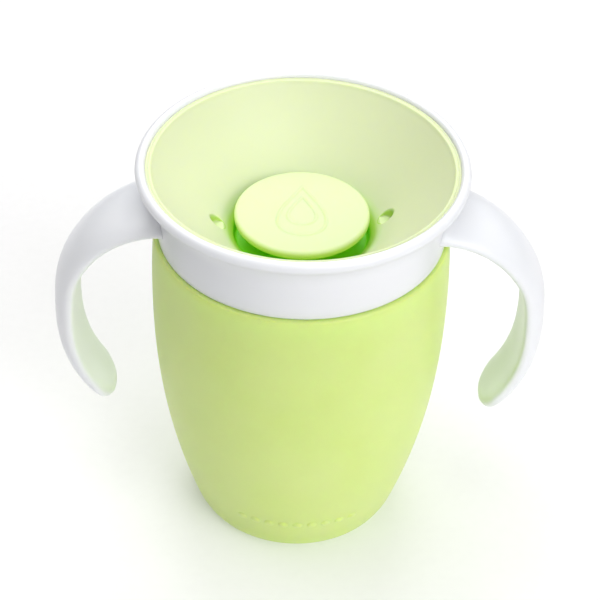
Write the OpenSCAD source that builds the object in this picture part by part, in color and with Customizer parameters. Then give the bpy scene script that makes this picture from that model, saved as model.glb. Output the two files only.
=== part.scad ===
// Trainer sippy cup with a screw-on drinking collar, two open handles and a
// lift-out soft valve with a centre release button. Millimetres, +Z up, the
// foot on z = 0 and the handles along X.

/* [Cup] */
// Widest radius of the cup wall
belly_r = 38.0; // [34:0.1:42]
// Height of the widest point
belly_z = 68.0; // [55:0.5:75]
// How far the wall draws in at the foot
foot_inset = 10.7; // [6:0.1:14]
// How far the wall draws in again at the shoulder
shoulder_inset = 0.8; // [0:0.1:2]
// Height of the shoulder under the collar
shoulder_z = 89.05; // [85:0.05:89.1]
// Rounding of the shoulder's edge
shoulder_fillet = 0.6; // [0.3:0.1:1.2]
// Wall thickness
wall = 2.2; // [1.4:0.1:3]
// Floor thickness
floor_t = 2.6; // [2:0.1:4]
// Outer radius of the threaded neck
neck_r = 32.9; // [31:0.1:34]
// Inner radius of the mouth
mouth_r = 30.9; // [29:0.1:32]
// Top of the neck
neck_top_z = 96.2; // [94:0.1:98]

/* [Thread] */
// Rise in one turn, three starts
lead = 12.0; // [9:0.5:18]
// Radial height of the ridges and lugs
ridge_h = 1.3; // [0.8:0.1:1.3]
// Height of each ridge's underside where it starts
ridge_z = 90.5; // [90.3:0.1:91]
// Thickness of a ridge on the neck
ridge_t = 1.5; // [1:0.1:1.6]
// Thickness of a lug in the collar
lug_t = 1.4; // [1:0.1:1.6]
// Angle from a ridge's start to its lug when the collar is tight
lug_start = 22; // [10:1:40]
// Sweep of each ridge on the neck, degrees
ridge_sweep = 100; // [60:5:110]
// Sweep of each lug in the collar, degrees
lug_sweep = 30; // [15:5:60]

/* [Collar] */
// Radius of the collar skirt
skirt_r = 36.1; // [35:0.1:37]
// Inner radius of the skirt
skirt_in_r = 34.5; // [34:0.1:35]
// Lower edge of the skirt
skirt_z = 89.45; // [86:0.05:92]
// Outer radius of the drinking rim
rim_r = 41.0; // [38:0.1:45]
// Top of the drinking rim
rim_top_z = 109.3; // [105:0.1:112]
// Inner radius of the drinking rim
rim_in_r = 38.55; // [38.55:0.05:38.8]
// Start of the flare above the skirt
flare_z = 98.5; // [97:0.1:99]
// Underside of the ledge that presses the seal ring
ledge_z = 98.0; // [98:0.05:98.2]
// Thickness of the ledge that carries the valve
ledge_t = 1.3; // [1:0.1:1.3]
// Inner radius of the ledge
ledge_r = 31.4; // [31.3:0.1:32]

/* [Handles] */
// Half width of the strap at the collar
strap_root = 12.6; // [8:0.1:14]
// Half width of the strap at its middle
strap_mid = 9.7; // [6:0.1:12]
// Half width of the strap near its tip
strap_tip = 8.0; // [5:0.1:11]
// Strap thickness at the collar
strap_root_t = 4.7; // [3:0.1:7]
// Strap thickness at its middle
strap_mid_t = 5.5; // [3:0.1:7]
// Strap thickness at the tip
strap_tip_t = 5.2; // [2.5:0.1:6]
// Height of the crown across the strap
strap_crown = 1.8; // [0:0.1:3]
// Roundness of the strap's edges, 1 is an ellipse
strap_edge = 0.85; // [0.5:0.05:1]

/* [Valve] */
// Outer radius of the soft dish
dish_r = 38.25; // [37:0.05:38.25]
// Height of the dish edge
dish_z = 108.2; // [107:0.1:109]
// Height of the dish's face at the slope's reference radius
slope_z = 89.4; // [89:0.1:90]
// Radius of the well under the button
well_r = 17.0; // [17:0.1:17.6]
// Underside of the well's floor
well_floor_z = 84.4; // [84.4:0.1:85]
// Thickness of the dish
dish_t = 1.5; // [1:0.1:1.5]
// Distance of the two finger dimples from the axis
dimple_at_r = 21.0; // [20.5:0.5:22]
// Radius of a dimple
dimple_r = 1.9; // [1.5:0.1:2.2]
// Depth of a dimple at its middle
dimple_h = 1.2; // [0.6:0.1:1.2]

/* [Button] */
// Button radius
button_r = 16.95; // [14:0.05:17]
// Thickness of the button's disc
button_t = 2.7; // [2.1:0.1:3]
// Button travel
press = 2.5; // [1:0.1:3]
// Clearance over the well's edge when the button is down
press_gap = 0.7; // [0.4:0.1:2]
// Stem radius
stem_r = 5.0; // [4.8:0.1:5]

/* [Hidden] */
gap = 0.3;
slide_gap = 0.06;
fine = 96;
lip_r = 1.3;
lip_in_r = 1.1;
slope_r = 18.9;
slope_end_r = 37.0;
dish_drop = dish_t * 1.36;
well_fillet = 1.3;
well_tilt = 41.7;
seat_t = 2.0;
boss_r = dimple_r + 0.9;
dimple_turns = [5.5, 185.5];
dots = 9;
dot_step = 7;
dot_z = 12.5;
cap_z = 74.2;
cap_top_z = 78.7;
hub_z = cap_top_z + gap;
seal_z = 96.5;
seal_top_z = 97.7;
green = "#cfe287";
pale = "#e6f2bf";
white = "#f2f4f6";
handle_path = [[33.0, 95.0], [44.9, 92.8], [56.6, 80.7],
               [59.6, 67.9], [59.2, 42.9], [48.6, 33.3]];

// Outer radius of the cup wall at height z
function cup_r(z) = z < belly_z
    ? belly_r - foot_inset * pow((belly_z - z) / belly_z, 2.15)
    : belly_r - shoulder_inset * pow((z - belly_z) / (shoulder_z - belly_z), 2);

// Points on an arc of radius r about c, from angle a to b
function arc(c, r, a, b, n = 6) =
    [for (i = [0:n]) c + r * [cos(a + (b - a) * i / n), sin(a + (b - a) * i / n)]];

// Height of the dish's upper face at radius r, a line with a slight hollow
function dish_top(r) = let (s = (r - slope_r) / (slope_end_r - slope_r))
    slope_z + (dish_z - gap - slope_z) * s - 2.4 * s * (1 - s);

// The well's rounded edge runs on from the slope
well_edge_r = well_r + well_fillet * (1 - sin(well_tilt));
well_edge_z = dish_top(well_edge_r);
button_under_z = well_edge_z + press_gap + press;
button_z = button_under_z + button_t;

// Clamped cubic B-spline basis and curve over six control points
knots = [0, 0, 0, 0, 1, 2, 3, 3, 3, 3];
function basis(i, k, t) = k == 0
    ? ((t >= knots[i] && t < knots[i + 1]) ? 1 : 0)
    : (knots[i + k] == knots[i] ? 0
        : (t - knots[i]) / (knots[i + k] - knots[i]) * basis(i, k - 1, t))
      + (knots[i + k + 1] == knots[i + 1] ? 0
        : (knots[i + k + 1] - t) / (knots[i + k + 1] - knots[i + 1]) * basis(i + 1, k - 1, t));
function path_at(s) = let (t = min(3 * s, 2.99999), w = [for (i = [0:5]) basis(i, 3, t)])
    w * handle_path;

// Value through three widths at s = 0, 0.5 and 1
function through(a, b, c, s) = a * (1 - s) * (1 - 2 * s) + 4 * b * s * (1 - s) + c * s * (2 * s - 1);
function signed_pow(v, p) = sign(v) * pow(abs(v), p);

// A helical ridge standing out from radius r by h, h below zero stands in
module helix_ridge(r, h, z, start, sweep, thick) {
    steps = ceil(sweep / 5);
    root = r - sign(h) * 0.2;
    ring = [for (i = [0:steps]) let (a = start + sweep * i / steps, zz = z + lead * sweep * i / steps / 360)
        for (p = [[root, 0], [r + h, 0.35], [r + h, thick - 0.35], [root, thick]])
            [p[0] * cos(a), p[0] * sin(a), zz + p[1]]];
    sides = [for (i = [0:steps - 1], j = [0:3])
        let (k = (j + 1) % 4, q = [4 * i + j, 4 * i + 4 + j, 4 * i + 4 + k, 4 * i + k])
        h < 0 ? q : [q[3], q[2], q[1], q[0]]];
    first = [0, 1, 2, 3];
    last = [4 * steps + 3, 4 * steps + 2, 4 * steps + 1, 4 * steps];
    ends = h < 0 ? [first, last] : [[3, 2, 1, 0], [last[3], last[2], last[1], last[0]]];
    polyhedron(points = ring, faces = concat(sides, ends), convexity = 6);
}

// Moulded tumbler: foot, curved wall, shoulder and threaded neck
module cup_body() {
    outer = concat(
        [[0, 0.8], [19.5, 0.8], [20.3, 0]],
        arc([25.2, 2.6], 2.6, -90, -18),
        [for (z = [3.2:3.4:shoulder_z - 1.4]) [cup_r(z), z]],
        arc([cup_r(shoulder_z) - shoulder_fillet, shoulder_z - shoulder_fillet], shoulder_fillet, 0, 90),
        [[neck_r, shoulder_z], [neck_r, neck_top_z - 0.4], [neck_r - 0.4, neck_top_z]]);
    inner = concat(
        [[mouth_r + 0.3, neck_top_z], [mouth_r, neck_top_z - 0.3], [mouth_r, shoulder_z - 1.6]],
        [for (z = [shoulder_z - 5.4:-3.6:8]) [cup_r(z) - wall, z]],
        arc([cup_r(7) - wall - 4.5, floor_t + 4.5], 4.5, 0, -90),
        [[0, floor_t]]);
    color(green) {
        rotate_extrude($fn = fine) polygon(concat(outer, inner));
        for (k = [0:2])
            helix_ridge(neck_r, ridge_h, ridge_z, 120 * k, ridge_sweep, ridge_t);
        for (k = [0:dots - 1]) rotate([0, 0, -90 - 26 + dot_step * k])
            translate([cup_r(dot_z) - 1.05, 0, dot_z]) sphere(r = 1.5, $fn = 32);
    }
}

// Soft ring that seals the mouth under the collar's ledge
module seal_ring() {
    round = 0.45;
    out = skirt_in_r - gap - 0.5;
    in = mouth_r + 1.0;
    color(pale) rotate_extrude($fn = fine) polygon(concat(
        arc([out, seal_z + round], round, -90, 0, 4), arc([out, seal_top_z - round], round, 0, 90, 4),
        arc([in, seal_top_z - round], round, 90, 180, 4), arc([in, seal_z + round], round, 180, 270, 4)));
}

// Screw collar: skirt with lugs, ledge for the valve seat and flared drinking rim
module lid_collar() {
    flare_w = rim_r - skirt_r - 0.6;
    flare_h = rim_top_z - lip_r - 1.6 - flare_z;
    flare = [for (i = [0:9]) let (s = 1 - pow(1 - i / 9, 2))
        [skirt_r + flare_w * (1 - sqrt(max(0, 1 - s * s))), flare_z + flare_h * s]];
    lip = concat(
        arc([rim_r - lip_r, rim_top_z - lip_r - 0.3], lip_r, -50, 0, 4),
        arc([rim_r - lip_r, rim_top_z - lip_r], lip_r, 0, 90, 7),
        arc([rim_in_r + lip_in_r, rim_top_z - lip_in_r], lip_in_r, 90, 180, 6));
    ledge_top_z = ledge_z + ledge_t;
    pocket_r = skirt_in_r - 0.2;
    bore = [[rim_in_r, dish_z - 0.7], [rim_in_r - 0.25, dish_z - 1.0], [37.6, 106.6], [37.0, 105.8],
        [36.0, 104.4], [34.9, 102.2], [pocket_r, 100.9], [pocket_r, ledge_top_z],
        [ledge_r + gap, ledge_top_z], [ledge_r, ledge_top_z - gap],
        [ledge_r, ledge_z + gap], [ledge_r + gap, ledge_z], [skirt_in_r, ledge_z],
        [skirt_in_r, skirt_z + 0.4], [skirt_in_r + 0.4, skirt_z]];
    color(white) {
        rotate_extrude($fn = fine) polygon(concat(
            [[skirt_r - 0.5, skirt_z], [skirt_r - 0.15, skirt_z + 0.15], [skirt_r, skirt_z + 0.5]],
            flare, lip, bore));
        for (k = [0:2])
            helix_ridge(skirt_in_r, -ridge_h, ridge_z - lug_t - gap + lead * lug_start / 360,
                120 * k + lug_start, lug_sweep, lug_t);
    }
}

// One open handle: a crowned strap swept from the collar round to its free tip
module handle(side) {
    n = 48;
    m = 20;
    at = [for (i = [0:n]) let (u = i / n) path_at(1 - pow(1 - u, 1.35))];
    run = [for (i = 0, d = 0; i <= n; i = i + 1, d = d + (i <= n ? norm(at[i] - at[i - 1]) : 0)) d];
    points = [for (i = [0:n]) let (
            s = 1 - pow(1 - i / n, 1.35),
            t = at[min(i + 1, n)] - at[max(i - 1, 0)], u = t / norm(t), up = [-u[1], u[0]],
            half = through(strap_root, strap_mid, strap_tip, s),
            left = max(run[n] - run[i], 0.02),
            a = min(left / strap_tip, 1), w = half * sqrt(1 - pow(1 - a, 2)),
            full = through(strap_root_t, strap_mid_t, strap_tip_t, s),
            b = min(left / (full / 2), 1), thick = full * sqrt(1 - pow(1 - b, 2)))
        for (j = [0:m - 1]) let (
            c = cos(360 * j / m), v = sin(360 * j / m),
            y = w * signed_pow(c, strap_edge),
            h = thick / 2 * signed_pow(v, strap_edge) + strap_crown * (1 - pow(y / half, 2)),
            p = at[i] + up * h)
        [side * p[0], y, p[1]]];
    quads = [for (i = [0:n - 1], j = [0:m - 1]) let (k = (j + 1) % m)
        [i * m + j, i * m + k, (i + 1) * m + k, (i + 1) * m + j]];
    faces = concat(quads, [[for (j = [m - 1:-1:0]) j], [for (j = [0:m - 1]) n * m + j]]);
    color(white) difference() {
        polyhedron(points = points, convexity = 6,
            faces = side > 0 ? faces : [for (f = faces) [for (q = [len(f) - 1:-1:0]) f[q]]]);
        translate([0, 0, 80]) cylinder(r = skirt_r - 0.5, h = 40, $fn = fine);
    }
}
module left_handle() { handle(-1); }
module right_handle() { handle(1); }

// Rigid perforated funnel that carries the dish and guides the button's stem
module valve_seat() {
    under_dish = dish_drop + 0.1;
    pan_z = 81.2;
    pan_t = 1.65;
    flange_z = ledge_z + ledge_t + gap;
    flange_r = skirt_in_r - 0.6;
    top = [for (i = [0:12]) let (r = 32.2 - 11.3 * i / 12) [r, dish_top(r) - under_dish]];
    under = [for (i = [0:10]) let (r = 21.8 + 9.2 * i / 10) [r, dish_top(r) - under_dish - seat_t]];
    color(white) difference() {
        rotate_extrude($fn = fine) polygon(concat(
            [[stem_r + slide_gap, hub_z], [8.2, hub_z], [8.2, pan_z], [21.0, pan_z], [21.8, pan_z + 0.8]],
            under, [[31.0, flange_z], [flange_r, flange_z], [flange_r, flange_z + 1.4], [32.6, 100.7]], top,
            [[20.3, 88.4], [20.3, pan_z + pan_t], [8.8, pan_z + pan_t], [8.8, well_floor_z - 0.05],
             [stem_r + slide_gap, well_floor_z - 0.05]]));
        for (k = [0:11]) rotate([0, 0, 30 * k + 15]) {
            translate([26.6, 0, 93.5]) rotate([0, -44, 0])
                cylinder(r = 3.4, h = 8, center = true, $fn = 32);
            translate([14.4, 0, 82]) cylinder(r = 2.4, h = 6, center = true, $fn = 24);
        }
        for (a = dimple_turns) rotate([0, 0, a])
            translate([dimple_at_r + 0.3, 0, 88.7]) cylinder(r = boss_r + 0.4, h = 8, $fn = 32);
    }
}

// Soft funnel-shaped dish with its well and two blind finger dimples
module valve_dish() {
    top = concat(
        [[dish_r, dish_z - 0.5], [dish_r - 0.2, dish_z - 0.1], [dish_r - 0.6, dish_z],
         [slope_end_r + 0.2, dish_z]],
        [for (i = [0:13])
            let (r = slope_end_r - (slope_end_r - 0.2 - well_edge_r) * i / 13) [r, dish_top(r)]],
        arc([well_r + well_fillet, well_edge_z - well_fillet * cos(well_tilt)], well_fillet,
            90 + well_tilt, 180, 4));
    floor_top_z = well_floor_z + 1.1;
    under = concat(
        [[stem_r + gap, well_floor_z], [well_r + 0.6, well_floor_z], [well_r + 1.4, well_floor_z + 0.8]],
        [for (i = [0:12]) let (r = 20.0 + 15.5 * i / 12) [r, dish_top(r) - dish_drop]],
        [[dish_r - 0.25, dish_z - 0.7]]);
    pit_z = dish_top(dimple_at_r) - dimple_h;
    color(pale) difference() {
        union() {
            rotate_extrude($fn = fine) polygon(concat(top,
                [[well_r, floor_top_z + 0.5], [well_r - 0.5, floor_top_z], [stem_r + gap, floor_top_z]],
                under));
            for (a = dimple_turns) rotate([0, 0, a])
                translate([dimple_at_r + 0.3, 0, pit_z - 0.9]) cylinder(r = boss_r, h = 2.4, $fn = 32);
        }
        for (a = dimple_turns) rotate([0, 0, a])
            translate([dimple_at_r, 0, pit_z]) cylinder(r = dimple_r, h = 8, $fn = 32);
    }
}

// Release button: a round-edged disc with a raised drop mark, on a guided stem
module centre_button() {
    edge = 0.9;
    under = 1.1;
    pin_r = stem_r - 1.0;
    color(pale) {
        rotate_extrude($fn = fine) polygon(concat(
            [[0, button_z]], arc([button_r - edge, button_z - edge], edge, 90, 0, 5),
            arc([button_r - under, button_under_z + under], under, 0, -90, 5),
            [[stem_r + 1.2, button_under_z], [stem_r, button_under_z - 1.2], [stem_r, cap_z + 2.4],
             [pin_r, cap_z + 2.4], [pin_r, cap_z - 0.6], [0, cap_z - 0.6]]));
        translate([0, 0, button_z - 0.2]) linear_extrude(0.45) {
            difference() { drop_mark(7.0); drop_mark(6.5); }
            difference() { drop_mark(4.4); drop_mark(3.9); }
        }
    }
}

// Water drop outline of round radius r, its point towards +Y
module drop_mark(r) {
    translate([0, -0.25 * r]) polygon(concat([[0, 1.75 * r]],
        [for (i = [0:24]) let (a = 145 + 250 * i / 24) r * [cos(a), sin(a)]]));
}

// Snap cap that holds the stem under the seat
module stem_cap() {
    cap_r = 7.6;
    edge = 0.6;
    step_z = cap_z + 2.3;
    color(white) rotate_extrude($fn = 64) polygon([
        [stem_r - 0.95, cap_z], [cap_r - edge, cap_z], [cap_r, cap_z + edge], [cap_r, cap_top_z - edge],
        [cap_r - edge, cap_top_z], [stem_r + 0.05, cap_top_z], [stem_r + 0.05, step_z],
        [stem_r - 0.95, step_z]]);
}

cup_body();
seal_ring();
lid_collar();
left_handle();
right_handle();
valve_seat();
valve_dish();
centre_button();
stem_cap();
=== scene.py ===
import math

import bpy
import numpy as np
from mathutils import Matrix, Vector


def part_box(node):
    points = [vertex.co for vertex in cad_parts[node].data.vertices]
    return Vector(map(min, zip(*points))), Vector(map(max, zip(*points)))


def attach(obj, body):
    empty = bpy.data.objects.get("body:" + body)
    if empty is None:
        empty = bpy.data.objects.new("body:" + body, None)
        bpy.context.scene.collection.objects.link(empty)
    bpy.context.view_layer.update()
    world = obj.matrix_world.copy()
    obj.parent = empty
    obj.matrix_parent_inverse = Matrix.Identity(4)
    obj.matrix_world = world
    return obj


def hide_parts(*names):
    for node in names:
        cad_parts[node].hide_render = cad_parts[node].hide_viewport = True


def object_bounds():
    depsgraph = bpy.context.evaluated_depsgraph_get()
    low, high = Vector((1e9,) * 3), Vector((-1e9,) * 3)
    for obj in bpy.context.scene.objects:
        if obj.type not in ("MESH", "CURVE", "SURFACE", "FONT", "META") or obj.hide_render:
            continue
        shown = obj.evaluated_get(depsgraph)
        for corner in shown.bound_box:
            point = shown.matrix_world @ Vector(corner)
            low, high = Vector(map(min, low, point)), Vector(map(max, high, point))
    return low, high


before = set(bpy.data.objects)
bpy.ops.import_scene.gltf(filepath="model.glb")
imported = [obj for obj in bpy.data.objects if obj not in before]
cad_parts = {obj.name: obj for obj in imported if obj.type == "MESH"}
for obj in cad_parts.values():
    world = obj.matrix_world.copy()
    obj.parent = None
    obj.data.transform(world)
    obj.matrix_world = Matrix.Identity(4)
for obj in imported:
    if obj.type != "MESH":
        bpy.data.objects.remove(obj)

# A spoutless trainer cup: green tumbler, white screw collar with a flared drinking
# rim and two open handles, and a soft pale green dish with a release button.
# Shapes are worked out in millimetres and written to the meshes in metres.

MM = 0.001
CAD_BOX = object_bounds()

# Sizes from the frame. The skirt reaches a little lower than the CAD's, to close the gap.
HEIGHT = CAD_BOX[1].z / MM
RIM_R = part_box("lid_collar")[1].y / MM
RIM_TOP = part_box("lid_collar")[1].z / MM
SKIRT_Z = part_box("lid_collar")[0].z / MM - 0.25
BELLY_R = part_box("cup_body")[1].y / MM
NECK_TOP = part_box("cup_body")[1].z / MM
DISH_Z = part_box("valve_dish")[1].z / MM
BUTTON_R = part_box("centre_button")[1].y / MM
MARK_H = 0.25
BUTTON_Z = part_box("centre_button")[1].z / MM - MARK_H

# Tumbler
BELLY_Z = 68.0
FOOT_INSET = 10.7
SHOULDER_INSET = 0.8
SHOULDER_Z = SKIRT_Z - 0.15
SHOULDER_FILLET = 0.6
WALL = 2.2
DOT_Z = 12.5
DOT_R = 1.25
DOT_H = 0.42
DOT_TURNS = -90 - 26 + 7.0 * np.arange(9)
FOOT_R = 25.2
FOOT_ROUND = 2.6
RING_IN = 20.4
RING_DEPTH = 0.8
FLOOR_T = 2.6
FLOOR_ROUND = 4.5
NECK_R = 32.9
MOUTH_R = 30.9
MOUTH_END_Z = 83.0

# Thread, three starts
LEAD = 12.0
RIDGE_H = 1.3
RIDGE_SWEEP = 100.0
RIDGE_T = 1.5
RIDGE_Z = 90.5
LUG_SWEEP = 30.0
LUG_T = 1.4
LUG_START = 22.0

# Collar
SKIRT_R = 36.1
SKIRT_IN = 34.5
FLARE_Z = 98.5
FLARE_H = 7.9
FLARE_OUT = 4.3
ROLL_OUT = (1.4, 1.5)
ROLL_IN = (1.05, 1.1)
RIM_IN = 38.52
BOWL_R = 34.3
LEDGE_IN = 31.4
LEDGE_Z = (98.0, 99.3)
# Inside of the rim, as corners (r, z, fillet) on the way down to the ledge
BOWL = [(RIM_IN, 107.35, 0.3), (37.6, 106.6, 0.4), (36.9, 105.6, 1.5), (BOWL_R, 101.0, 2.0)]

# Handles. The path is the control points of the strap's centre line, x outwards and z
# up. Its half width and thickness are at the root, the middle and the tip.
STRAP_PATH = [(33.0, 95.0), (44.9, 92.8), (56.6, 80.7), (59.6, 67.9), (59.2, 42.9), (48.6, 33.3)]
STRAP_HALF = (12.6, 9.7, 8.0)
STRAP_THICK = (4.7, 5.5, 5.2)
STRAP_CROWN = 1.8
STRAP_EDGE = 0.85
ROOT_DEPTH = 0.9
ROOT_FILLET = 0.9
ROOT_FILLET_RUN = 1.3
ROOT_HUG_RUN = 9.0

# Valve
DISH_EDGE_R = RIM_IN - 0.02
DISH_EDGE_Z = 107.75
GROOVE_R = 37.9
GROOVE_DEPTH = 0.12
DISH_DROP = 2.04
# The slope's ends (r, z), and how deep the green painted shade is at each radius: shadow
# and green bounce light in the well and over its brink, and a trace on the rim's lit top
SLOPE = ((18.9, 89.4), (37.0, DISH_Z - 0.3))
PAINTED_SHADE_R = (17.0, 17.15, 17.5, 18.3, 19.2, 20.4, 36.9, 37.1)
PAINTED_SHADE_DEEP = (1.0, 0.8, 0.55, 0.3, 0.12, 0.0, 0.0, 0.04)
WELL_R = 17.0
WELL_FILLET = 1.3
WELL_TILT = math.radians(41.7)
WELL_FLOOR = 84.4
WELL_FLOOR_T = 1.1
STEM_HOLE_R = 5.3
DIMPLE_AT_R = 21.0
DIMPLE_R = 1.9
DIMPLE_H = 1.2
DIMPLE_TURNS = (5.5, 185.5)
BUTTON_T = 2.7
DROP_SIZES = (7.6, 4.4)
STEM_R = 5.0
STEM_FOOT_R = 4.0
STEM_Z = (73.6, 76.6)  # foot and step
CAP_R = 7.6
CAP_Z = (74.2, 76.5, 78.7)  # foot, step and top
CAP_PLAY = 0.05
SEAL_R = (31.45, 34.15)
SEAL_Z = (96.5, 97.7)
SEAL_BEAD = 0.12

# Studio: distances in metres, angles in degrees and the lens in millimetres
TABLE_R = 0.55
TABLE_GLOW = 0.235
SURROUND = 0.16
LAMP_AWAY = 1.2
LAMP_SIDE = 0.7
LENS = 102.0
CAMERA_AWAY = 0.44196
CAMERA_ELEVATION = 40.325
CAMERA_ROLL = 1.6
AIM_X = 0.00008
AIM_RISE = 0.5927


# Meshes

def skin(name, points, close_rows=False, poles=(False, False), deep=None):
    """Mesh from a grid of points, rows by columns, in millimetres. The columns always run
    round and join up. Rows join up too where close_rows is set. A pole is a first or last
    row that is one point, which a fan of triangles closes. deep is a value a point, kept
    as an attribute for the material's painted shade."""
    rows, columns = points.shape[:2]
    index = np.arange(rows * columns).reshape(rows, columns)
    verts = points.reshape(-1, 3)
    inner = index[int(poles[0]):rows - int(poles[1])]
    below, above = (inner, np.roll(inner, -1, 0)) if close_rows else (inner[:-1], inner[1:])
    quads = np.stack([below, np.roll(below, -1, 1), np.roll(above, -1, 1), above], -1).reshape(-1, 4)
    faces = quads.tolist()
    if poles[0]:
        ring = index[1]
        faces += np.stack([np.full(columns, index[0, 0]), np.roll(ring, -1), ring], -1).tolist()
    if poles[1]:
        ring = index[-2]
        faces += np.stack([np.full(columns, index[-1, 0]), ring, np.roll(ring, -1)], -1).tolist()
    used = np.ones(len(verts), bool)
    if poles[0]:
        used[index[0, 1:]] = False
    if poles[1]:
        used[index[-1, 1:]] = False
    renumber = np.cumsum(used) - 1
    mesh = bpy.data.meshes.new(name)
    mesh.from_pydata((verts[used] * MM).tolist(), [], [[int(renumber[v]) for v in f] for f in faces])
    mesh.shade_smooth()
    if deep is not None:
        mesh.attributes.new("deep", "FLOAT", "POINT").data.foreach_set("value", deep.reshape(-1)[used])
    piece = bpy.data.objects.new(name, mesh)
    bpy.context.scene.collection.objects.link(piece)
    return piece


def rounded(corners, turn=15.0):
    """Outline through corners (r, z, fillet). Each corner is cut by an arc of its fillet
    radius, tangent to both sides, and each straight side gets a row close to its ends so
    that smooth shading stays flat on it."""
    c = np.array([p[:2] for p in corners], float)
    out = [c[0]]
    for k in range(1, len(c) - 1):
        a, b = c[k - 1] - c[k], c[k + 1] - c[k]
        a, b = a / np.linalg.norm(a), b / np.linalg.norm(b)
        half = math.acos(np.clip(a @ b, -1, 1)) / 2
        radius = corners[k][2] if len(corners[k]) > 2 else 0.0
        if radius < 1e-6 or half > math.radians(89):
            out.append(c[k])
            continue
        cut = radius / math.tan(half)
        centre = c[k] + (a + b) / np.linalg.norm(a + b) * radius / math.sin(half)
        start, end = c[k] + a * cut - centre, c[k] + b * cut - centre
        sweep = math.pi - 2 * half
        side = np.sign(start[0] * end[1] - start[1] * end[0])
        t = np.linspace(0, side * sweep, max(2, int(math.degrees(sweep) / turn) + 1))
        out += list(centre + np.stack([start[0] * np.cos(t) - start[1] * np.sin(t),
                                       start[0] * np.sin(t) + start[1] * np.cos(t)], -1))
    out.append(c[-1])
    line = [out[0]]
    for p, q in zip(out[:-1], out[1:]):
        length = np.linalg.norm(q - p)
        if length < 1e-6:
            continue
        near = min(0.25, length / 3)
        if length > 1.0:
            inside = np.linspace(near / length, 1 - near / length, max(2, int(length / 2.5)))
            line += list(p + inside[:, None] * (q - p))
        line.append(q)
    return np.array(line)


def lathe(outline, columns=192, crowd=()):
    """Points of the outline (r, z) turned about the Z axis, evenly and at the extra angles
    in crowd, in degrees."""
    turn = np.linspace(0, 360, columns, endpoint=False)
    turn = np.radians(np.unique(np.round(np.concatenate([turn, *crowd]) % 360, 2)))
    r, z = outline[:, :1], outline[:, 1:]
    return np.stack([r * np.cos(turn), r * np.sin(turn), z + 0 * turn], -1)


def step(x, low, high):
    """0 below low, 1 above high and a smooth cubic between."""
    t = np.clip((x - low) / (high - low), 0, 1)
    return t * t * (3 - 2 * t)


def helix_bump(points, z_start, sweep, start, thick):
    """1 on three helical ridges and 0 off them. A ridge starts at its angle and z_start
    and climbs LEAD a turn. Its flanks and ends fade smoothly."""
    angle = np.degrees(np.arctan2(points[..., 1], points[..., 0]))
    bump = np.zeros(points.shape[:2])
    for k in range(3):
        along = (angle - start - 120 * k) % 360
        middle = z_start + thick / 2 + LEAD * along / 360
        flank = 1 - step(np.abs(points[..., 2] - middle), thick / 2 - 0.4, thick / 2)
        ends = step(along, 0, 5) * (1 - step(along, sweep - 5, sweep))
        bump = np.maximum(bump, flank * ends)
    return bump


def push(points, amount):
    """Moves points away from the Z axis by amount."""
    r = np.maximum(np.hypot(points[..., 0], points[..., 1]), 1e-9)
    points[..., 0] *= 1 + amount / r
    points[..., 1] *= 1 + amount / r
    return points


# Tumbler

def cup_r(z):
    """Outer radius of the wall: a 2.15 power curve that draws in from the belly to the
    foot, and a parabola that draws in from the belly to the shoulder."""
    low = BELLY_R - FOOT_INSET * (np.clip(BELLY_Z - z, 0, None) / BELLY_Z) ** 2.15
    high = BELLY_R - SHOULDER_INSET * (np.clip(z - BELLY_Z, 0, None) / (SHOULDER_Z - BELLY_Z)) ** 2
    return np.where(z < BELLY_Z, low, high)


def bore_r(z):
    """Inner radius of the wall."""
    return cup_r(z) - WALL


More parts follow.
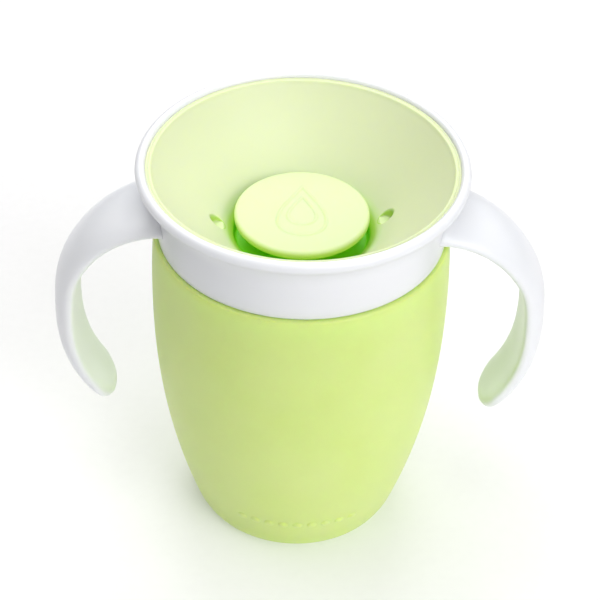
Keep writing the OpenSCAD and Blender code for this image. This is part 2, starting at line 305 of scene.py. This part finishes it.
def tumbler():
    """The foot, wall, shoulder, neck and inside as one outline. The thread is pushed out of
    the neck. The row of dots is pushed out of the wall as low domes, each half of a
    flattened ball."""
    foot_turn = np.radians(np.linspace(-90, -18, 9))
    foot = np.stack([FOOT_R + FOOT_ROUND * np.cos(foot_turn),
                     FOOT_ROUND + FOOT_ROUND * np.sin(foot_turn)], -1)
    base = rounded([(0, RING_DEPTH), (RING_IN - 0.9, RING_DEPTH, 0.5), (RING_IN, 0, 0.4), tuple(foot[0])])
    z = np.unique(np.concatenate([np.linspace(3.2, SHOULDER_Z - SHOULDER_FILLET - 0.1, 56),
                                  np.arange(DOT_Z - 1.6, DOT_Z + 1.6, 0.16)]))
    wall = np.stack([cup_r(z), z], -1)
    top = float(cup_r(np.array(SHOULDER_Z)))
    turn = np.radians(np.linspace(0, 90, 8))
    shoulder = np.stack([top - SHOULDER_FILLET + SHOULDER_FILLET * np.cos(turn),
                         SHOULDER_Z - SHOULDER_FILLET + SHOULDER_FILLET * np.sin(turn)], -1)
    ledge = np.stack([np.linspace(top - SHOULDER_FILLET - 0.1, NECK_R + 0.1, 5),
                      np.full(5, SHOULDER_Z)], -1)
    neck = np.stack([np.full(52, NECK_R), np.linspace(SHOULDER_Z + 0.02, NECK_TOP - 0.45, 52)], -1)
    lip = rounded([tuple(neck[-1]), (NECK_R, NECK_TOP, 0.4), (MOUTH_R, NECK_TOP, 0.35),
                   (MOUTH_R, SHOULDER_Z - 1.6, 1.0), (float(bore_r(MOUTH_END_Z)), MOUTH_END_Z)])
    z = np.linspace(MOUTH_END_Z - 0.4, 9.0, 44)
    inside = np.stack([bore_r(z), z], -1)
    corner = rounded([tuple(inside[-1]), (float(bore_r(5.0)), FLOOR_T, FLOOR_ROUND), (0, FLOOR_T)])
    pieces = [base[:-1], foot, wall, shoulder, ledge, neck, lip[1:], inside, corner[1:]]
    part = np.repeat(np.arange(len(pieces)), [len(p) for p in pieces])[:, None]
    points = lathe(np.concatenate(pieces), 216, [DOT_TURNS + d for d in np.arange(-3.2, 3.2, 0.4)])
    ridge = RIDGE_H * helix_bump(points, RIDGE_Z, RIDGE_SWEEP, 0.0, RIDGE_T) * (part == 5)
    turn = np.degrees(np.arctan2(points[..., 1], points[..., 0]))
    off = np.min(np.abs((turn[..., None] - DOT_TURNS + 180) % 360 - 180), axis=-1)
    away = np.hypot(np.radians(off) * np.hypot(points[..., 0], points[..., 1]), points[..., 2] - DOT_Z)
    domes = DOT_H * np.sqrt(np.clip(1 - (away / DOT_R) ** 2, 0, 1)) * (part == 2)
    return skin("tumbler", push(points, ridge + domes), poles=(True, True))


# Collar and handles

def collar():
    """Skirt, concave flare and rolled drinking rim, with a ledge inside for the valve seat
    and three lugs pushed in from the skirt's inner wall. The flare is a quarter of an
    ellipse, and each side of the rolled rim is an arc of one."""
    s = 1 - (1 - np.linspace(0, 1, 22)) ** 2
    flare = np.stack([SKIRT_R + FLARE_OUT * (1 - np.sqrt(np.clip(1 - s * s, 0, 1))),
                      FLARE_Z + FLARE_H * s], -1)
    turn = np.radians(np.linspace(-55, 90, 16))
    wide, high = ROLL_OUT
    roll_out = np.stack([RIM_R - wide + wide * np.cos(turn), RIM_TOP - high + high * np.sin(turn)], -1)
    turn = np.radians(np.linspace(90, 180, 10))
    wide, high = ROLL_IN
    roll_in = np.stack([RIM_IN + wide + wide * np.cos(turn), RIM_TOP - high + high * np.sin(turn)], -1)
    ledge_low, ledge_top = LEDGE_Z
    bore = rounded([tuple(roll_in[-1]), *BOWL, (BOWL_R, ledge_top, 0.2), (LEDGE_IN, ledge_top, 0.3),
                    (LEDGE_IN, ledge_low, 0.3), (SKIRT_IN, ledge_low, 0.3), (SKIRT_IN, 95.4)])
    inner = np.stack([np.full(40, SKIRT_IN), np.linspace(95.2, SKIRT_Z + 0.45, 40)], -1)
    foot = rounded([tuple(inner[-1]), (SKIRT_IN, SKIRT_Z, 0.35), (SKIRT_R, SKIRT_Z, 0.4),
                    (SKIRT_R, 92.0)])
    outline = np.concatenate([foot[1:], flare, roll_out, roll_in[1:], bore[1:], inner])
    points = lathe(outline, 288)
    on_inner = np.zeros(len(outline), bool)
    on_inner[-len(inner):] = True
    lug_z = RIDGE_Z - LUG_T - 0.3 + LEAD * LUG_START / 360
    lugs = helix_bump(points, lug_z, LUG_SWEEP, LUG_START, LUG_T) * on_inner[:, None]
    return skin("collar", push(points, -RIDGE_H * lugs), close_rows=True)


def b_spline(control, s):
    """Clamped uniform cubic B-spline at s from 0 to 1, by the Cox-de Boor basis."""
    control = np.array(control, float)
    knots = np.concatenate([[0] * 3, np.linspace(0, 1, len(control) - 2), [1] * 3])
    s = np.minimum(s, 1 - 1e-9)[:, None]
    basis = ((s >= knots[:-1]) & (s < knots[1:])).astype(float)
    for k in range(1, 4):
        left_gap, right_gap = knots[k:-1] - knots[:-k - 1], knots[k + 1:] - knots[1:-k]
        left = np.where(left_gap > 0, (s - knots[:-k - 1]) / np.where(left_gap > 0, left_gap, 1), 0)
        right = np.where(right_gap > 0, (knots[k + 1:] - s) / np.where(right_gap > 0, right_gap, 1), 0)
        basis = left * basis[:, :-1] + right * basis[:, 1:]
    return basis @ control


def through(values, s):
    """The parabola through three values at s = 0, 0.5 and 1."""
    a, b, c = values
    return a * (1 - s) * (1 - 2 * s) + 4 * b * s * (1 - s) + c * s * (2 * s - 1)


def signed_power(v, p):
    """The size of v to the power p, with v's sign."""
    return np.sign(v) * np.abs(v) ** p


def handle(name, side):
    """A crowned strap along the path. The section is a rounded oblong whose half width runs
    through three widths, bent by a parabola across it; it closes in a half ellipse at the
    tip and flares by a small fillet, shaped to the collar's wall, at the root."""
    fine = np.linspace(0, 1, 2001)
    line = b_spline(STRAP_PATH, fine)
    root_x = SKIRT_R - ROOT_DEPTH
    s_root = float(np.interp(root_x, line[:800, 0], fine[:800]))
    s = s_root + (1 - s_root) * (1 - (1 - np.linspace(0, 1, 120)) ** 1.5)
    centre = b_spline(STRAP_PATH, s)
    run = np.concatenate([[0], np.cumsum(np.linalg.norm(np.diff(centre, axis=0), axis=1))])
    left = run[-1] - run
    tangent = np.gradient(centre, run, axis=0)
    tangent /= np.linalg.norm(tangent, axis=1)[:, None]
    normal = np.stack([-tangent[:, 1], tangent[:, 0]], -1)
    half = through(STRAP_HALF, s)
    thick = through(STRAP_THICK, s)
    tip = np.sqrt(1 - (1 - np.clip(left / STRAP_HALF[2], 0, 1)) ** 2)
    edge = np.sqrt(1 - (1 - np.clip(left / (thick / 2), 0, 1)) ** 2)
    near = np.clip(1 - (run - ROOT_DEPTH) / ROOT_FILLET_RUN, 0, 1)
    fillet = ROOT_FILLET * (1 - np.sqrt(np.clip(1 - near ** 2, 0, 1)))
    turn = np.linspace(0, 2 * np.pi, 56, endpoint=False)
    across = ((half + fillet) * tip)[:, None] * signed_power(np.cos(turn), STRAP_EDGE)
    deep = ((thick / 2 + fillet) * edge)[:, None] * signed_power(np.sin(turn), STRAP_EDGE)
    deep = deep + STRAP_CROWN * (1 - (across / (half + fillet)[:, None]) ** 2)
    x = centre[:, :1] + normal[:, :1] * deep
    z = centre[:, 1:] + normal[:, 1:] * deep
    hug = np.clip(1 - run / ROOT_HUG_RUN, 0, 1)[:, None] ** 2
    x = x - hug * (root_x - np.sqrt(np.clip(root_x ** 2 - across ** 2, 0, None)))
    points = np.stack([x, across, z], -1)
    cap = points[:1].mean(axis=1, keepdims=True) + 0 * points[:1]
    points = np.concatenate([cap, points])
    points[-1] = points[-1].mean(axis=0)
    if side < 0:
        points = points * np.array([-1, 1, 1])
        points = points[:, ::-1]
    return skin(name, points, poles=(True, True))


# Valve

def dish_top(r):
    """Height of the dish's upper face: a line from the well to the rim, with a slight
    hollow."""
    (r0, z0), (r1, z1) = SLOPE
    s = (r - r0) / (r1 - r0)
    return z0 + (z1 - z0) * s - 2.4 * s * (1 - s)


def dish():
    """The soft funnel with its well and a flat rim that has a fine groove. The upper and
    lower faces are one closed outline. Rows and columns crowd round the two dimples, where
    the face drops to a flat floor. deep is painted shade, a deeper green for the shadow and
    green bounce light: 1 in the well, fading over its brink, and low in the dimples and on
    the rim's lit top."""
    seam = WELL_R + WELL_FILLET * (1 - math.sin(WELL_TILT))
    end = SLOPE[1][0]
    near = np.arange(DIMPLE_AT_R - DIMPLE_R - 0.3, DIMPLE_AT_R + DIMPLE_R + 0.4, 0.12)
    r = np.unique(np.concatenate([np.linspace(seam + 0.1, end - 0.2, 44), near]))[::-1]
    upper = np.stack([r, dish_top(r)], -1)
    edge = rounded([(36.2, 105.14), (38.0, DISH_EDGE_Z - 0.25, 0.2), (DISH_EDGE_R, DISH_EDGE_Z, 0.3),
                    (DISH_EDGE_R, DISH_Z, 0.08), (GROOVE_R + 0.15, DISH_Z, 0.1),
                    (GROOVE_R, DISH_Z - GROOVE_DEPTH, 0.1), (GROOVE_R - 0.15, DISH_Z, 0.1),
                    (end + 0.1, DISH_Z, 0.5), tuple(upper[0])], 12.0)
    turn = np.linspace(math.pi / 2 + WELL_TILT, math.pi, 9)
    brink_z = dish_top(seam) - WELL_FILLET * math.cos(WELL_TILT)
    brink = np.stack([WELL_R + WELL_FILLET * (1 + np.cos(turn)),
                      brink_z + WELL_FILLET * np.sin(turn)], -1)
    well = rounded([tuple(brink[-1]), (WELL_R, WELL_FLOOR + WELL_FLOOR_T, 0.9),
                    (STEM_HOLE_R, WELL_FLOOR + WELL_FLOOR_T, 0.2), (STEM_HOLE_R, WELL_FLOOR, 0.2),
                    (WELL_R + 0.6, WELL_FLOOR, 0.3), (WELL_R + 1.4, WELL_FLOOR + 0.8, 0.4),
                    (20.0, dish_top(20.0) - DISH_DROP, 0.6), (20.6, dish_top(20.6) - DISH_DROP)])
    r = np.unique(np.concatenate([np.linspace(20.8, 35.8, 24), np.arange(20.8, 24.6, 0.2)]))
    under = np.stack([r, dish_top(r) - DISH_DROP], -1)
    pieces = [edge[1:-1], upper, brink, well[1:], under]
    outline = np.concatenate(pieces)
    part = np.repeat(np.arange(len(pieces)), [len(p) for p in pieces])[:, None]
    points = lathe(outline, 240, [at + np.arange(-7.7, 7.7, 0.35) for at in DIMPLE_TURNS])
    # Painted shade: a deeper green in the well and over its brink, where shadow and green bounce light
    # fall, and a trace on the rim's lit top
    painted_shade = np.interp(outline[:, 0], PAINTED_SHADE_R, PAINTED_SHADE_DEEP)
    deep = painted_shade[:, None] * (part < 4) + 0 * points[..., 2]
    pit = dish_top(DIMPLE_AT_R) - DIMPLE_H
    for at in DIMPLE_TURNS:
        place = np.array([math.cos(math.radians(at)), math.sin(math.radians(at))])
        away = np.linalg.norm(points[..., :2] - DIMPLE_AT_R * place, axis=-1)
        hole = (1 - step(away, DIMPLE_R - 0.2, DIMPLE_R + 0.2)) * (part == 1)
        points[..., 2] -= hole * np.clip(points[..., 2] - pit, 0, None)
        # Painted shade in each dimple: a deeper green on its wall and a trace on its floor
        deep = np.maximum(deep, 0.1 * hole + 1.2 * hole * (1 - hole))
        away = np.linalg.norm(points[..., :2] - (DIMPLE_AT_R + 0.3) * place, axis=-1)
        boss = (1 - step(away, DIMPLE_R + 0.7, DIMPLE_R + 1.0)) * (part == 4)
        points[..., 2] += boss * (np.minimum(points[..., 2], pit - 0.9) - points[..., 2])
    return skin("soft_dish", points, close_rows=True, deep=deep)


def drop_outline(size):
    """Points round a water drop: x = 1.12 size sin t sin^1.4 (t / 2), y = 1.3 size cos t."""
    t = np.linspace(0, 2 * np.pi, 240, endpoint=False)
    return np.stack([1.12 * size * np.sin(t) * np.sin(t / 2) ** 1.4, 1.3 * size * np.cos(t)], -1)


def button():
    """A round-edged disc on a stem. Two drop outlines, one in the other, stand up from its
    top: each point near a line is raised, the more so the nearer it is. deep, a green painted
    shade under the disc, grows from the top edge to the underside."""
    under = BUTTON_Z - BUTTON_T
    low, step_z = STEM_Z
    disc = rounded([(0, low), (STEM_FOOT_R, low, 0.3), (STEM_FOOT_R, step_z, 0.2),
                    (STEM_R, step_z, 0.3), (STEM_R, under, 1.2), (BUTTON_R, under, 1.15),
                    (BUTTON_R, BUTTON_Z - 0.12, 0.95), (BUTTON_R - 1.2, BUTTON_Z - 0.1)], 9.0)
    r = np.concatenate([np.linspace(BUTTON_R - 1.5, 10.6, 8), np.arange(10.4, 0.05, -0.12), [0.0]])
    crown = np.stack([r, BUTTON_Z - 0.1 * (r / BUTTON_R) ** 2], -1)
    outline = np.concatenate([disc, crown])
    points = lathe(outline, 320)
    top = points[len(disc):]
    for size in DROP_SIZES:
        line = drop_outline(size)
        away = np.min(np.linalg.norm(top[..., None, :2] - line, axis=-1), axis=-1)
        top[..., 2] += MARK_H * 0.8 * (1 - step(away, 0.12, 0.5))
    # Painted shade: a deeper green under the disc and up its edge, faint on the top
    deep = np.interp(outline[:, 1], [under, under + 0.9, BUTTON_Z - 0.25, BUTTON_Z],
                     [1.0, 0.5, 0.1, 0.07])
    return skin("release_button", points, poles=(True, True), deep=deep[:, None] + 0 * points[..., 2])


def seal():
    """A soft flat ring with round edges and a raised bead on each face."""
    inner, outer = SEAL_R
    middle = (inner + outer) / 2
    low, high = SEAL_Z[0] + SEAL_BEAD, SEAL_Z[1] - SEAL_BEAD
    outline = rounded([(middle, low), (inner, low, 0.4), (inner, high, 0.4), (middle - 0.5, high, 0.2),
                       (middle, high + SEAL_BEAD, 0.3), (middle + 0.5, high, 0.2), (outer, high, 0.4),
                       (outer, low, 0.4), (middle + 0.5, low, 0.2), (middle, low - SEAL_BEAD, 0.3),
                       (middle - 0.5, low, 0.2)])
    return skin("seal_gasket", lathe(outline[::-1], 144), close_rows=True)


def cap():
    """A snap cap round the foot of the stem, open above."""
    low, step_z, high = CAP_Z
    foot, bore = STEM_FOOT_R + CAP_PLAY, STEM_R + CAP_PLAY
    outline = rounded([(foot, low), (CAP_R, low, 0.7), (CAP_R, high, 0.5), (bore, high, 0.2),
                       (bore, step_z, 0.1), (foot, step_z, 0.1), (foot, low + 0.2)])
    return skin("snap_cap", lathe(outline, 96), close_rows=True)


# Materials

def linear(code, alpha=1.0):
    """An sRGB hex colour as linear red, green, blue and alpha."""
    v = [int(code[k:k + 2], 16) / 255 for k in (1, 3, 5)]
    return (*[c / 12.92 if c <= 0.04045 else ((c + 0.055) / 1.055) ** 2.4 for c in v], alpha)


def add(tree, kind, values=None, links=None, stops=None, **settings):
    """Adds a node with its settings, its input values, its links and, on a ramp, its stops."""
    made = tree.nodes.new(kind)
    for key, value in settings.items():
        setattr(made, key, value)
    if stops:
        ramp = made.color_ramp
        while len(ramp.elements) < len(stops):
            ramp.elements.new(0.5)
        for element, (place, colour) in zip(ramp.elements, stops):
            element.position = place
            element.color = colour
    for key, value in (values or {}).items():
        made.inputs[key].default_value = value
    for key, socket in (links or {}).items():
        tree.links.new(socket, made.inputs[key])
    return made


def blank(name):
    """A new node material, its tree and its Object coordinates."""
    material = bpy.data.materials.new(name)
    material.use_nodes = True
    tree = material.node_tree
    tree.nodes.clear()
    return material, tree, add(tree, "ShaderNodeTexCoord").outputs["Object"]


def green_polypropylene():
    """Injection-moulded polypropylene with a satin spark-eroded finish: slightly milky, so
    its shaded side turns a deeper green, with a fine even grain."""
    material, tree, place = blank("moulded_green_polypropylene")
    cloud = add(tree, "ShaderNodeTexNoise", {"Scale": 1 / 0.022, "Detail": 2.0}, {"Vector": place})
    tint = add(tree, "ShaderNodeValToRGB", links={"Fac": cloud.outputs["Fac"]},
               stops=[(0.3, linear("#D3F386")), (0.7, linear("#D7F590"))])
    gloss = add(tree, "ShaderNodeMapRange", {"To Min": 0.40, "To Max": 0.47},
                {"Value": cloud.outputs["Fac"]})
    # The eroded grain is about 0.05 mm: drawn at 0.35 mm so that it shows.
    grain = add(tree, "ShaderNodeTexNoise", {"Scale": 1 / 0.00035, "Detail": 2.0}, {"Vector": place})
    relief = add(tree, "ShaderNodeBump", {"Strength": 0.06, "Distance": 0.00004},
                 {"Height": grain.outputs["Fac"]})
    body = add(tree, "ShaderNodeBsdfPrincipled",
               {"IOR": 1.49, "Subsurface Weight": 0.8, "Subsurface Radius": (0.8, 1.0, 0.15),
                "Subsurface Scale": 0.006},
               {"Base Color": tint.outputs["Color"], "Roughness": gloss.outputs["Result"],
                "Normal": relief.outputs["Normal"]})
    add(tree, "ShaderNodeOutputMaterial", links={"Surface": body.outputs["BSDF"]})
    return material


def white_polypropylene():
    """Injection-moulded polypropylene, filled white and polished in the mould: bright and
    smooth, with a soft sheen and faint long waves from cooling."""
    material, tree, place = blank("polished_white_polypropylene")
    cloud = add(tree, "ShaderNodeTexNoise", {"Scale": 1 / 0.03, "Detail": 2.0}, {"Vector": place})
    tint = add(tree, "ShaderNodeValToRGB", links={"Fac": cloud.outputs["Fac"]},
               stops=[(0.3, linear("#E8EAEE")), (0.7, linear("#EBECEF"))])
    gloss = add(tree, "ShaderNodeMapRange", {"To Min": 0.27, "To Max": 0.34},
                {"Value": cloud.outputs["Fac"]})
    wave = add(tree, "ShaderNodeTexNoise", {"Scale": 1 / 0.004, "Detail": 1.0}, {"Vector": place})
    relief = add(tree, "ShaderNodeBump", {"Strength": 0.05, "Distance": 0.00005},
                 {"Height": wave.outputs["Fac"]})
    body = add(tree, "ShaderNodeBsdfPrincipled",
               {"IOR": 1.49, "Subsurface Weight": 0.25, "Subsurface Radius": (1.0, 1.0, 1.1),
                "Subsurface Scale": 0.002},
               {"Base Color": tint.outputs["Color"], "Roughness": gloss.outputs["Result"],
                "Normal": relief.outputs["Normal"]})
    add(tree, "ShaderNodeOutputMaterial", links={"Surface": body.outputs["BSDF"]})
    return material


def green_silicone():
    """Moulded liquid silicone rubber, pale green: a dry satin skin over a milky body. The deep
    attribute darkens it to a clear green: painted shade in the well, the dimples and under the button."""
    material, tree, place = blank("moulded_green_silicone")
    deep = add(tree, "ShaderNodeAttribute", attribute_name="deep")
    # From pale silicone to a deep green by the deep attribute: painted shade and green bounce light
    tint = add(tree, "ShaderNodeValToRGB", links={"Fac": deep.outputs["Fac"]},
               stops=[(0.0, linear("#DAE2BA")), (0.12, linear("#D1E2A4")), (0.3, linear("#B9D966")),
                      (0.62, linear("#A8E030")), (1.0, linear("#90EE10"))])
    cloud = add(tree, "ShaderNodeTexNoise", {"Scale": 1 / 0.015, "Detail": 2.0}, {"Vector": place})
    gloss = add(tree, "ShaderNodeMapRange", {"To Min": 0.40, "To Max": 0.48},
                {"Value": cloud.outputs["Fac"]})
    # The blasted mould leaves a 0.08 mm grain: drawn at 0.3 mm so that it shows.
    grain = add(tree, "ShaderNodeTexNoise", {"Scale": 1 / 0.0003, "Detail": 2.0}, {"Vector": place})
    relief = add(tree, "ShaderNodeBump", {"Strength": 0.08, "Distance": 0.00004},
                 {"Height": grain.outputs["Fac"]})
    body = add(tree, "ShaderNodeBsdfPrincipled",
               {"IOR": 1.41, "Subsurface Weight": 0.5, "Subsurface Radius": (0.9, 1.0, 0.3),
                "Subsurface Scale": 0.0012},
               {"Base Color": tint.outputs["Color"], "Roughness": gloss.outputs["Result"],
                "Normal": relief.outputs["Normal"]})
    add(tree, "ShaderNodeOutputMaterial", links={"Surface": body.outputs["BSDF"]})
    return material


def clear_silicone():
    """Unfilled silicone rubber for the seal: milky and soft, with a dull shine."""
    material, tree, place = blank("milky_silicone_rubber")
    grain = add(tree, "ShaderNodeTexNoise", {"Scale": 1 / 0.0006, "Detail": 2.0}, {"Vector": place})
    gloss = add(tree, "ShaderNodeMapRange", {"To Min": 0.38, "To Max": 0.5},
                {"Value": grain.outputs["Fac"]})
    tint = add(tree, "ShaderNodeValToRGB", links={"Fac": grain.outputs["Fac"]},
               stops=[(0.3, linear("#DDE2DA")), (0.7, linear("#E6EAE2"))])
    body = add(tree, "ShaderNodeBsdfPrincipled",
               {"IOR": 1.41, "Subsurface Weight": 0.5, "Subsurface Scale": 0.002},
               {"Base Color": tint.outputs["Color"], "Roughness": gloss.outputs["Result"]})
    add(tree, "ShaderNodeOutputMaterial", links={"Surface": body.outputs["BSDF"]})
    return material


def light_table():
    """Opal acrylic lit from below: matt and white, with a faint cloudiness."""
    material, tree, place = blank("lit_opal_acrylic")
    stipple = add(tree, "ShaderNodeTexNoise", {"Scale": 1 / 0.003, "Detail": 2.0}, {"Vector": place})
    tint = add(tree, "ShaderNodeValToRGB", links={"Fac": stipple.outputs["Fac"]},
               stops=[(0.3, linear("#DAD9DA")), (0.7, linear("#DCDBDC"))])
    paint = add(tree, "ShaderNodeBsdfPrincipled",
                {"Roughness": 0.9, "Specular IOR Level": 0.1, "Emission Color": (1, 1, 1, 1),
                 "Emission Strength": TABLE_GLOW},
                {"Base Color": tint.outputs["Color"]})
    add(tree, "ShaderNodeOutputMaterial", links={"Surface": paint.outputs["BSDF"]})
    return material


# Assembly

green = green_polypropylene()
white = white_polypropylene()
soft = green_silicone()
clear = clear_silicone()

for make, paint, body, slot, node in (
        (tumbler, green, "cup", "green_pp", "cup_body"),
        (collar, white, "lid", "white_pp", "lid_collar"),
        (lambda: handle("handle_left", -1), white, "lid", "white_pp", "left_handle"),
        (lambda: handle("handle_right", 1), white, "lid", "white_pp", "right_handle"),
        (seal, clear, "seal", "clear_silicone", "seal_ring"),
        (dish, soft, "valve", "pale_silicone", "valve_dish"),
        (button, soft, "button", "pale_silicone", "centre_button"),
        (cap, white, "button", "white_pp", "stem_cap")):
    piece = make()
    piece.data.materials.clear()
    piece.data.materials.append(paint)
    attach(piece, body)
    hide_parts(node)

# The valve seat is the CAD's own shape, in the collar's white.
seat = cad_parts["valve_seat"]
for k in range(len(seat.material_slots)):
    seat.material_slots[k].material = white


# Studio

def table_top():
    """A plain pale round table at the cup's foot."""
    turn = np.linspace(0, 2 * np.pi, 96, endpoint=False)
    rim = TABLE_R * np.stack([np.cos(turn), np.sin(turn), 0 * turn], -1)
    mesh = bpy.data.meshes.new("studio_floor")
    mesh.from_pydata(rim.tolist(), [], [list(range(len(turn)))])
    floor = bpy.data.objects.new("studio_floor", mesh)
    floor.data.materials.append(light_table())
    bpy.context.scene.collection.objects.link(floor)


def soft_box(name, azimuth, elevation, power):
    """A square area light aimed at the cup's middle. Azimuth 0 is the camera's side, 90
    the right."""
    a, e = math.radians(azimuth), math.radians(elevation)
    away = Vector((math.sin(a) * math.cos(e), -math.cos(a) * math.cos(e), math.sin(e)))
    light = bpy.data.lights.new(name, "AREA")
    light.shape = "SQUARE"
    light.size = LAMP_SIDE
    light.energy = power
    lamp = bpy.data.objects.new(name, light)
    lamp.location = Vector((0, 0, HEIGHT * MM / 2)) + away * LAMP_AWAY
    lamp.rotation_euler = away.to_track_quat("Z", "Y").to_euler()
    bpy.context.scene.collection.objects.link(lamp)


def long_lens_camera():
    """A long lens, 40 degrees above the horizon and turned slightly about its own axis. It
    is aimed a little above the cup's middle."""
    elevation, roll = math.radians(CAMERA_ELEVATION), math.radians(CAMERA_ROLL)
    back = Vector((0, -math.cos(elevation), math.sin(elevation)))
    up = Vector((0, math.sin(elevation), math.cos(elevation)))
    right = Vector((1, 0, 0))
    across = right * math.cos(roll) + up * math.sin(roll)
    above = up * math.cos(roll) - right * math.sin(roll)
    lens = bpy.data.cameras.new("camera")
    lens.lens = LENS
    lens.sensor_width = 36.0
    camera = bpy.data.objects.new("camera", lens)
    aim = Vector((AIM_X, 0, AIM_RISE * HEIGHT * MM))
    turn = Matrix((across, above, back)).transposed().to_4x4()
    camera.matrix_world = Matrix.Translation(aim + back * CAMERA_AWAY) @ turn
    bpy.context.scene.collection.objects.link(camera)
    bpy.context.scene.camera = camera


def white_surround():
    """A surround that looks white and gives only a little light."""
    world = bpy.data.worlds.new("white_surround")
    world.use_nodes = True
    tree = world.node_tree
    seen = add(tree, "ShaderNodeLightPath").outputs["Is Camera Ray"]
    level = add(tree, "ShaderNodeMapRange", {"To Min": SURROUND, "To Max": 1.0}, {"Value": seen})
    tree.nodes["Background"].inputs["Color"].default_value = (1, 1, 1, 1)
    tree.links.new(level.outputs["Result"], tree.nodes["Background"].inputs["Strength"])
    bpy.context.scene.world = world


bpy.context.scene.view_settings.view_transform = "Standard"
table_top()
long_lens_camera()
white_surround()
for name, azimuth, elevation, power in (
        ("overhead", 0, 88, 4.4),
        ("behind", 180, 45, 6.0),
        ("key", 42, 27, 5.4),
        ("high_right", 50, 40, 1.9),
        ("front", 14, 42, 2.9),
        ("high_left", -112, 64, 3.6)):
    soft_box(name, azimuth, elevation, power)
